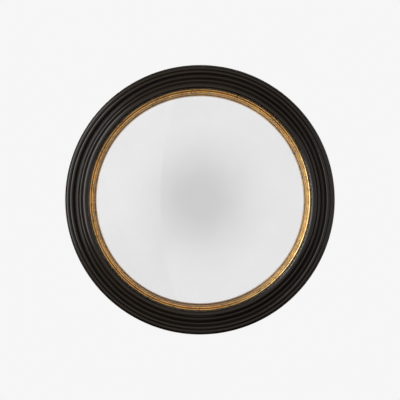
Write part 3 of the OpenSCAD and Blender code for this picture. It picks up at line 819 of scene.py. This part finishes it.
# %% Bowed shells
def dome_shell(name, front_r, back_r, out_r, corner, rings=70, steps=256):
    """A closed bowed shell. Points run along a radius on the front sphere, round the edge, whose
    corners are cut off by a little, and back along the rear sphere. Their radii go by the sine of
    even steps, closer towards the edge. Each radius is carried round the axis, and the two middles
    are single points closed by fans."""
    reach = out_r * np.sin(np.linspace(0.0, 1.0, rings + 1)[1:] * np.pi / 2)
    front = np.stack([reach, bowed_height(reach, front_r)], axis=1)
    back = np.stack([reach[::-1], bowed_height(reach[::-1], back_r)], axis=1)
    front[-1] -= (corner, 0.0)
    back[0] -= (corner, 0.0)
    rim = np.array([(out_r, front[-1, 1] - corner), (out_r, back[0, 1] + corner)])
    profile = np.vstack([front, rim, back])
    turn = np.linspace(0.0, 2 * np.pi, steps, endpoint=False)
    points = turned(profile, turn).reshape(-1, 3)
    middles = turned(np.array([(0.0, bowed_height(0.0, r)) for r in (front_r, back_r)]), [0.0])[0]
    count, columns = len(points), len(profile)
    row = np.arange(steps)
    after = (row + 1) % steps
    front_fan = np.stack([after * columns, row * columns, np.full(steps, count)], axis=1)
    back_fan = np.stack([row * columns + columns - 1, after * columns + columns - 1,
                         np.full(steps, count + 1)], axis=1)
    behind = np.concatenate([np.tile(np.arange(columns) >= rings, steps), [False, True]])
    return make_mesh(name, np.vstack([points, middles]),
                     [grid_quads(steps, columns, True, False), front_fan, back_fan],
                     behind=behind.astype(float))


# %% [markdown]
# The silver and its grey paint are a thin shell of their own behind the glass. The light passes the
# glass, is thrown back by the silver and passes the glass again, as in the real thing. A single
# shiny surface would be cheaper, but it would lack the glass's own faint second reflection.

# %% Glass and silver
GLASS_CORNER, COAT_CORNER = 0.4, 0.1
COAT_GAP, COAT_T, COAT_MARGIN = 0.05, 0.3, 1.0

glass = dome_shell("glass", BOW_R, GLASS_BACK_R, GLASS_R, GLASS_CORNER)
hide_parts("mirror_glass")
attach(glass, "mirror")

silver = dome_shell("silver", GLASS_BACK_R - COAT_GAP, GLASS_BACK_R - COAT_GAP - COAT_T,
                    GLASS_R - COAT_MARGIN, COAT_CORNER)
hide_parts("silver_coat")
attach(silver, "mirror")

# %% [markdown]
# Clean glass still has a trace of haze and the slow waves of sheet that was bent over a mould. Both
# are kept very faint: enough to soften a reflected edge, too little to see by themselves. The
# silver's front is a bright metal, and its back is grey paint, told apart by a value in the mesh.

# %% Glass and silver finishes
GLASS_IOR = 1.5

tree, shader, place = finish("bent glass", glass)
haze = level(noise(place, 9.0, 5.0, 0.6), 0.45, 0.8, 0.0, 0.02)
sag = bump(noise(place, 6.0, 1.0, 0.4), 0.05, 0.6)
tint = mix(haze, grey(254), screen(250, 251, 251))
feed(shader, Base_Color=tint, Roughness=haze, Normal=sag,
     Metallic=0.0, Transmission_Weight=1.0, IOR=GLASS_IOR)

tree, shader, place = finish("silvering", silver)
behind = level(attribute(tree, "behind"), 0.4, 0.6)
bright = ramp(noise(place, 14.0, 4.0), (0.3, grey(247)), (0.7, grey(250)))
paint = ramp(noise(place, 120.0, 3.0), (0.3, screen(88, 92, 94)), (0.7, screen(112, 115, 116)))
feed(shader, Base_Color=mix(behind, bright, paint),
     Metallic=rest(behind), Roughness=times(behind, 0.5))

# %% [markdown]
# Behind the glass lie felt, blocks and tenons that nobody sees once the board is on. They keep their
# modelled shapes, which are right for sawn and cut stuff, and get the finish of what they are made
# of. Felt is matt, and its fibres are a stretched, twisted noise.

# %% Inner pieces
def plain_wood(name, pale, deep, *pieces):
    """Planed or sawn wood with its grain along X, paler on the rings and darker in the pores."""
    tree, shader, place = finish(name, *pieces)
    grain = use(wood_figure, place, Scale=1.4)
    colour = ramp(grain["Rings"], (0.1, deep), (0.9, pale))
    colour = mix(times(grain["Pores"], 0.5), colour, deep)
    feed(shader, Base_Color=colour, Roughness=level(grain["Rings"], 0.0, 1.0, 0.5, 0.65),
         Normal=bump(grain["Pores"], 0.3, -0.2))


plain_wood("beech", screen(205, 165, 125), screen(170, 125, 88), nodes["frame_tenons"])
plain_wood("pine", screen(214, 180, 132), screen(184, 140, 90), nodes["glass_blocks"])

tree, shader, place = finish("felt", nodes["glass_felt"])
fibres = noise(place, 700.0, 6.0, 0.75, Distortion=1.5)
colour = ramp(fibres, (0.3, screen(96, 98, 92)), (0.7, screen(132, 134, 128)))
feed(shader, Base_Color=colour, Roughness=level(fibres, 0.3, 0.7, 0.8, 0.95),
     Normal=bump(fibres, 0.6, 0.6))

# %% [markdown]
# The back is closed by a disc of hardboard: brown and smooth, with fine fibres and broad darker
# clouds where it was pressed. A picture of hardboard could be laid on it, but noise has no seams
# and needs no file.

# %% Backing board
BOARD_DEEP, BOARD_BROWN, BOARD_PALE = screen(84, 56, 36), screen(116, 80, 52), screen(142, 104, 70)
BOARD_CLOUD = screen(82, 56, 38)

tree, shader, place = finish("hardboard", nodes["backing_board"])
flecks = noise(place, 900.0, 5.0, 0.7, Distortion=0.8)
clouds = noise(place, 7.0, 4.0)
colour = ramp(flecks, (0.25, BOARD_DEEP), (0.5, BOARD_BROWN), (0.8, BOARD_PALE))
colour = mix(level(clouds, 0.4, 0.75, 0.0, 0.45), colour, BOARD_CLOUD)
feed(shader, Base_Color=colour, Roughness=level(clouds, 0.3, 0.8, 0.42, 0.6),
     Normal=bump(flecks, 0.25, 0.3))

# %% [markdown]
# Brass screws in cup washers hold the board, and zinc-plated straps carry the rings that the mirror
# hangs by. Their modelled shapes stay. Old hardware is never one even metal: streaks of handling
# and a few dull spots change its colour and its roughness together.

# %% Metal finishes
def hardware(name, bright, dull, roughness, *pieces):
    """Plated or solid metal. The streaks lead from dull to bright and add to the roughness, and the
    spots are dull and rougher still."""
    tree, shader, place = finish(name, *pieces)
    marks = use(handled_metal, place, Scale=1.0)
    colour = mix(marks["Streaks"], dull, bright)
    colour = mix(times(marks["Spots"], 0.5), colour, dull)
    gloss = maths("ADD", times(marks["Streaks"], 0.12), roughness)
    feed(shader, Base_Color=colour, Metallic=1.0,
         Roughness=maths("ADD", gloss, times(marks["Spots"], 0.2)),
         Normal=bump(marks["Streaks"], 0.08, 0.1))


hardware("dull brass", screen(214, 178, 108), screen(176, 138, 78), 0.24,
         nodes["board_screws"], nodes["board_cups"],
         nodes["hanger_screw_left"], nodes["hanger_screw_right"])
hardware("zinc plate", screen(206, 206, 202), screen(168, 170, 168), 0.22,
         nodes["slip_brads"], nodes["hanger_strap_left"], nodes["hanger_strap_right"],
         nodes["hanger_ring_left"], nodes["hanger_ring_right"])

# %% [markdown]
# Four rubber bumpers keep the frame off the wall. Old rubber has a faint grey bloom, so its black is
# lifted in soft patches and stays matt.

# %% Rubber finish
tree, shader, place = finish("black rubber", nodes["wall_bumpers"])
bloom = noise(place, 260.0, 4.0)
feed(shader, Base_Color=ramp(bloom, (0.3, screen(30, 30, 31)), (0.75, grey(58))),
     Roughness=level(bloom, 0.3, 0.7, 0.55, 0.75), Normal=bump(bloom, 0.15, 0.2))

# %% [markdown]
# The studio is a world: a node tree that gives a colour for every direction. Walls round the mirror
# would do the same, but a world needs no mesh and casts no shadow. It is worked out from the angle
# to the direction straight ahead of the mirror, where the camera stands and the room is a little
# darker. To the left stands a whiter wall, whose edge bends with the height.

# %% Studio room
WALL_BEND, WALL_START, WALL_FULL, WALL_SHARE = 0.17, 0.228, 0.238, 0.16
NEAR_GREYS = ((0, 211), (5, 212), (8, 216), (11, 221), (16, 229), (21, 235), (26, 238), (38, 238))

world = bpy.data.worlds.new("studio")
world.use_nodes = True
scene.world = world
studio = world.node_tree
studio.nodes.clear()
direction = add(studio, "ShaderNodeTexCoord").outputs["Generated"]
parts = add(studio, "ShaderNodeSeparateXYZ", _0=direction).outputs
ahead = vector_maths("DOT_PRODUCT", direction, _1=(0.0, -1.0, 0.0))["Value"]
turn = maths("DIVIDE", maths("ARCCOSINE", ahead), np.pi)
across = maths("DIVIDE", parts["X"], parts["Y"])
upward = maths("DIVIDE", parts["Z"], parts["Y"])
bend = times(times(upward, upward), WALL_BEND)
beside = level(maths("ADD", across, bend), WALL_START, WALL_FULL)
beside = times(beside, WALL_SHARE)
wall = mix(level(parts["Z"], -0.32, -0.04), grey(218), grey(255))


def surroundings(*far):
    """Greys of the room by the angle from straight ahead, in degrees, with the wall beside it."""
    greys = [(degrees / 180, grey(value)) for degrees, value in NEAR_GREYS + far]
    return mix(beside, ramp(turn, *greys), wall)


print("room of", len(studio.nodes), "nodes")

# %% [markdown]
# What gold and wax see is pale in front and dim at the sides and below, which keeps the black
# mouldings deep. The silvered glass must not show that dim part from the side. A ray that comes
# back from the silver has passed the glass, so its transmission depth tells it, and it sees the
# pale room all round.

# %% What gold and glass see
DIM_FROM_Z, DIM_FULL_Z = -0.58, -0.66

room = surroundings((44, 160), (54, 62), (90, 42), (180, 140))
room = mix(level(parts["Z"], DIM_FULL_Z, DIM_FROM_Z), screen(30, 29, 28), room)
seen = add(studio, "ShaderNodeLightPath").outputs
silvered = times(maths("GREATER_THAN", seen["Transmission Depth"], 0.5),
                 maths("LESS_THAN", seen["Glossy Depth"], 1.5))
room = mix(silvered, room, surroundings((70, 234), (180, 214)))
print("room and reflections of", len(studio.nodes), "nodes")

# %% [markdown]
# The world gives three lights. A ray straight from the camera sees one flat pale grey, a glossy or
# transmitted ray sees the room, and all others get a soft white light, twice as strong from above
# as from below. Light Path's outputs choose between them. The Standard view shows colours as they
# are written.

# %% Backdrop and ambient light
BACKDROP = grey(246)
AMBIENT = 0.52


def glow(colour, strength):
    """Light of one colour from every direction that the world gives it to."""
    return add(studio, "ShaderNodeBackground", Color=colour, Strength=strength).outputs[0]


def either(mask, first, second):
    """The first light where the mask is 0, and the second where it is 1."""
    return add(studio, "ShaderNodeMixShader", _0=mask, _1=first, _2=second).outputs[0]


scene.view_settings.view_transform = "Standard"
mirrored = largest(seen["Is Glossy Ray"], seen["Is Transmission Ray"])
from_above = level(parts["Z"], -0.7, 0.7, AMBIENT * 0.45, AMBIENT * 0.9)
light = either(mirrored, glow(grey(255), from_above), glow(room, 1.0))
light = either(seen["Is Camera Ray"], light, glow(BACKDROP, 1.0))
add(studio, "ShaderNodeOutputWorld", Surface=light)
print("studio of", len(studio.nodes), "nodes")

# %% [markdown]
# A large softbox from the left gives the mouldings their bright flanks, a weaker one from the right
# opens the shadows, and one behind lights the back for the views from there. Softboxes are area
# lamps, because a point lamp would give hard glints.

# %% Softboxes
COOL, NEUTRAL = (0.92, 0.97, 1.0), (1.0, 1.0, 1.0)


def softbox(name, direction, distance, width, height, power, tone=NEUTRAL):
    """A rectangular area lamp that looks at the mirror from a direction. Its distance and size are
    in metres and its power is in watts."""
    data = bpy.data.lights.new(name, "AREA")
    data.shape, data.size, data.size_y, data.energy = "RECTANGLE", width, height, power
    data.color = tone
    lamp = bpy.data.objects.new(name, data)
    toward = Vector(direction).normalized()
    lamp.location = toward * distance
    lamp.rotation_euler = toward.to_track_quat("Z", "Y").to_euler()
    scene.collection.objects.link(lamp)
    print("softbox", name, "of", power, "W")


softbox("key", (-0.9, -0.43, 0.24), 2.6, 2.4, 3.2, 99.0, COOL)
softbox("fill", (0.97, -0.24, 0.1), 2.6, 1.7, 2.6, 14.0)
softbox("back", (-0.1, 1.0, 0.4), 3.2, 2.0, 2.0, 60.0)

# %% [markdown]
# The floor is a pale disc far below the hanging mirror. A large floor would throw light up on the
# black mouldings, so it is small and fades out towards its edge by its Alpha, worked out from the
# distance to its middle.

# %% Floor
FLOOR_Z, FLOOR_R, FLOOR_STEPS = -2.6, 0.5, 96

floor_turn = np.linspace(0.0, 2 * np.pi, FLOOR_STEPS, endpoint=False)
floor_points = np.stack([FLOOR_R * np.cos(floor_turn), FLOOR_R * np.sin(floor_turn),
                         np.full(FLOOR_STEPS, FLOOR_Z)], axis=1)
floor = make_mesh("floor", floor_points, [np.arange(FLOOR_STEPS)[None, :]])
tree, shader, place = finish("pale floor", floor)
level_place = vector_maths("MULTIPLY", place, _1=(1.0, 1.0, 0.0))["Vector"]
away = vector_maths("LENGTH", level_place)["Value"]
pale = ramp(noise(place, 3.0), (0.3, grey(240)), (0.7, grey(244)))
feed(shader, Base_Color=pale, Roughness=0.8,
     Alpha=level(away, 0.3 * FLOOR_R, 0.98 * FLOOR_R, 1.0, 0.0))
